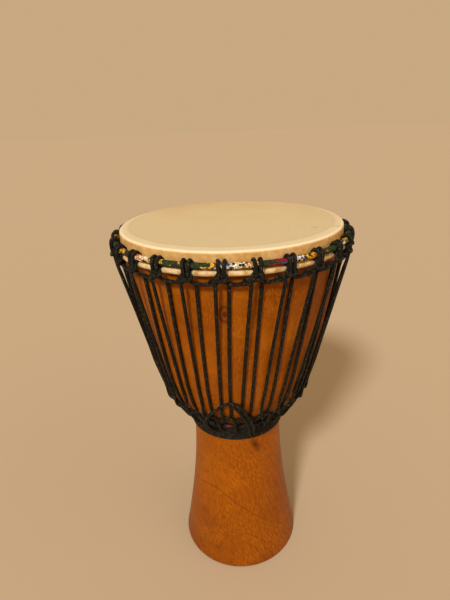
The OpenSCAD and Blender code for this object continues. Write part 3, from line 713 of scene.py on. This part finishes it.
# ---- Bottom loops ----
# A second length of the same cord. It goes once round the neck ring between loops, where the ring presses it
# on the wood, and each loop lies flat on the bowl's shoulder with the lacing pulled tight through it.
# The bottom loops are turned through this angle against the top loops
bottom_turn = -3.4
bottom_rise = 73
turn_rise = 53
bottom_z = neck.y + bottom_rise
bottom_pair = 13
under_cord = fit + cord_r
pressed_cord = fit + pressed_t / 2
over_cord = fit + pressed_t + fit + cord_r
outer_cord = over_cord + cord_r + fit + pressed_t / 2
bottom_loop = off_wood(bottom_z, over_cord)
bottom_half = bottom_pair / 2 + cord_step


def loop_az(k):
    """Direction of a bottom loop, in degrees."""
    return knot_az(k) + bottom_turn


def bottom_wave(azimuth):
    """One bottom loop and the turn round the neck ring after it."""
    turn = azimuth + knot_step / 2
    to_wood = neck_contact - neck_ring_c
    wood_side = math.degrees(math.atan2(to_wood.y, to_wood.x)) - 360
    return [
        (at(azimuth, bottom_loop, -bottom_half), free),
        (at(azimuth, bottom_loop, bottom_half), free),
        round_ring(turn, neck_ring_c, -cord_r - 0.6, wood_side + 3.5 * bend, False),
        round_ring(turn, neck_ring_c, -cord_r - 0.4, wood_side + 2.5 * bend, False),
        round_ring(turn, neck_ring_c, -cord_r, wood_side + 1.5 * bend, False),
        round_ring(turn, neck_ring_c, 0, wood_side + bend / 2, True),
        round_ring(turn, neck_ring_c, cord_r, wood_side - bend / 2, True),
        (at(turn, off_wood(neck.y + turn_rise, under_cord + 0.5), cord_r + 0.6), free)]


waves = []
for k in range(1, knots + 1):
    waves += bottom_wave(loop_az(back_knot + k))
waves.append((at(loop_az(back_knot + 1), bottom_loop, -bottom_half - fit), free))
braided("bottom_loops", waves, 1.6, braid, "bottom_loop_cord")


# ---- Lacing ----
# One long length of the same cord, pulled hard to tune the drum: up behind each top loop, down in front of
# the next, and through the bottom loops. What is left is wound round the neck and tucked up in an arch.
inner_top = top_loop.x - cord_step - 0.5
outer_top = top_loop.x + cord_r + 2 * fit + pressed_t / 2
low_bend = belly.y - 36
run_drop = 2.2
windings = 5
wind_lead = 14
tail_start = -122


def lacing_r(z, top_r):
    """Radius of a lacing cord: straight while it can be, then lying on the wood."""
    base = outside_r(belly.y) + under_cord + fit
    share = (z - belly.y) / (top_loop.y - belly.y)
    return max(outside_r(z) + under_cord + 4 * fit, base + share * (top_r - base))


def lean(z):
    """Angle that a lacing cord has turned through at a height, from its top loop towards its bottom loop."""
    return bottom_turn * (top_loop.y - z) / (top_loop.y - bottom_z)


def lacing_s(z):
    """Distance sideways of a lacing cord from the middle of its knot."""
    share = (z - bottom_z) / (top_loop.y - bottom_z)
    return (bottom_pair + share * (top_pair - bottom_pair)) / 2


def lacing_down(azimuth, side, top_r, top_flat, low_distance):
    """One length of lacing from the top loop down to the bottom loop."""
    lift = off_wood(bottom_z, 1) - off_wood(bottom_z, 0)
    low_az = azimuth + bottom_turn
    bends = [0.86, 0.7, 0.57, 0.45, 0.33, 0.22, 0.11, 0.0]
    heights = [belly.y + f * (flesh.y - belly.y) for f in bends]
    return [
        (at(azimuth, (top_r, top_loop.y), side * top_pair / 2), toward(azimuth, (top_flat, 0))),
        *[(at(azimuth + lean(z), (lacing_r(z, top_r), z), side * lacing_s(z)), free) for z in heights],
        (at(azimuth + lean(low_bend), off_wood(low_bend, under_cord + 5 * fit), side * lacing_s(low_bend)),
         free),
        (at(low_az, off_wood(bottom_z, low_distance), side * bottom_pair / 2), toward(low_az, lift) * flat)]


route = []
for k in range(knots):
    here = knot_az(back_knot + k)
    there = knot_az(back_knot + k + 1)
    route += lacing_down(here, 1, inner_top, 0, pressed_cord)[::-1]
    route += [
        (at(here, (inner_top + 0.2, top_loop.y - run_drop), top_pair / 2 + 3.5), free),
        (at(there, (inner_top + 0.2, top_loop.y - run_drop), -top_pair / 2 - 9.5), free),
        (at(there, (inner_top + 1.5, top_loop.y + 4.1), -top_pair / 2 - 5.4), free),
        (at(there, (top_loop.x + 3.1, top_loop.y + cord_step + 0.4), -top_pair / 2 - 2), free)]
    route += lacing_down(there, -1, outer_top, flat, outer_cord)
    if k < knots - 1:
        route += [
            (at(there + bottom_turn, off_wood(bottom_z - cord_step, over_cord + 2), -bottom_pair / 2 + 2.6),
             free),
            (at(there + bottom_turn, off_wood(bottom_z - cord_step, under_cord + 1.2), bottom_pair / 2 - 2.6),
             free)]

steps_per_turn = 24
wind_start = loop_az(back_knot) + wind_lead
all_turns = windings + (360 + tail_start - wind_start) / 360
winding_out = under_cord + fit + neck.x * (1 / math.cos(math.pi / steps_per_turn) - 1)
over_ring = neck_ring_c.x + wrapped_r + cord_step
over_turns = winding_out + cord_step
back = loop_az(back_knot)
route += [(p, free) for p in (
    at(back, (over_ring + 16, neck_ring_c.y + 24), -1),
    at(back, (over_ring + 3, neck_ring_c.y + 3), -1),
    at(back, (neck_ring_c.x + 4, neck_ring_c.y - wrapped_r - cord_step), 0),
    at(back, off_wood(neck.y + 16, over_turns + 0.4), 1),
    at(back, off_wood(neck.y + 5, over_turns), 4),
    at(back, off_wood(neck.y - 1, over_turns - 2), 10))]
for i in range(int(all_turns * steps_per_turn) + 1):
    azimuth = wind_start + 360 * i / steps_per_turn
    route.append((at(azimuth, off_wood(neck.y - 0.8 + i / steps_per_turn * cord_step, winding_out)), free))
# The tail: direction, rise over the neck, distance off the wood
tail = [
    (tail_start, 24, 8), (-118.5, 22, 11), (-114.6, 31, 13.5), (-112.6, 42, 15.5), (-112, 54, 15.5),
    (-112.6, 66, 15), (-111.5, 77, 13.5), (-107.8, 87, 10.5), (-103.6, 95, 9), (-100.2, 103, 8.2),
    (-97, 109, 8), (-94, 111, 8), (-91.2, 110, 8), (-88.6, 105, 8.2), (-85.8, 95, 9), (-83, 84, 12.5),
    (-80.6, 73, 15), (-78.2, 60, 15), (-76.6, 47, 15.8), (-75.8, 38, 17), (-75.2, 30, 18.6),
    (-74.2, 23, 17.5), (-73, 15, 12.5), (-74.6, 9.5, 9), (-76.8, 13, 11), (-78, 20, 16.5),
    (-78.6, 28, 18.6), (-79.2, 38, 18), (-80, 47, 16), (-81.4, 59, 15), (-83.8, 71, 13.5),
    (-86, 81, 11.5), (-88.2, 91, 8.6), (-90.6, 99.5, 8), (-92.6, 103.6, 8)]
route += [(at(azimuth, off_wood(neck.y + rise, distance)), free) for azimuth, rise, distance in tail]
braided("lacing", route, 2.6, braid, "lacing_cord")


# ---- Floor, light and camera ----
# A plain pale floor, one soft lamp in front on the left, a weak one on the right and an even room light.
floor_finish, tree = new_material("pale_matt_floor")
floor_shader = add(tree, "BsdfPrincipled", {"Base Color": srgb("B9A891"), "Roughness": 0.9})
add(tree, "OutputMaterial", {"Surface": floor_shader.outputs[0]})
floor_r = 25
bm = bmesh.new()
bmesh.ops.create_circle(bm, cap_ends=True, segments=64, radius=floor_r)
floor_mesh = bpy.data.meshes.new("floor")
bm.to_mesh(floor_mesh)
bm.free()
floor_mesh.materials.append(floor_finish)
floor = bpy.data.objects.new("floor", floor_mesh)
bpy.context.collection.objects.link(floor)

world = bpy.data.worlds.new("room")
bpy.context.scene.world = world
world.use_nodes = True
room_light = world.node_tree.nodes["Background"]
room_light.inputs["Color"].default_value = srgb("CFAF87")
room_light.inputs["Strength"].default_value = 0.92

for name, strength, spread, colour, side in (("key", 2.75, 9, "FFF8EC", (-0.28, -0.72, 0.65)),
                                             ("fill", 0.5, 60, "FFF0D8", (0.80, -0.45, 0.40))):
    lamp = bpy.data.lights.new(name, "SUN")
    lamp.energy = strength
    lamp.angle = math.radians(spread)
    lamp.color = srgb(colour)[:3]
    stand = bpy.data.objects.new(name, lamp)
    stand.rotation_euler = Vector(side).to_track_quat("Z", "Y").to_euler()
    bpy.context.collection.objects.link(stand)

camera_data = bpy.data.cameras.new("camera")
camera_data.sensor_width = 36
camera_data.lens = 26.4
camera_data.clip_end = 60
camera = bpy.data.objects.new("camera", camera_data)
# Radians: to the right, down, and round the line of sight
turn, tilt, roll = -0.0206179, 0.3945713, -0.0410818
forward = Vector((math.sin(turn) * math.cos(tilt), math.cos(turn) * math.cos(tilt), -math.sin(tilt)))
level = Vector((math.cos(turn), -math.sin(turn), 0))
above = level.cross(forward)
right = level * math.cos(roll) + above * math.sin(roll)
up = above * math.cos(roll) - level * math.sin(roll)
pose = Matrix((right, up, -forward)).transposed().to_4x4()
pose.translation = Vector((0, -0.6448, 0.7417))
camera.matrix_world = pose
bpy.context.collection.objects.link(camera)
bpy.context.scene.camera = camera
bpy.context.scene.view_settings.view_transform = "Standard"
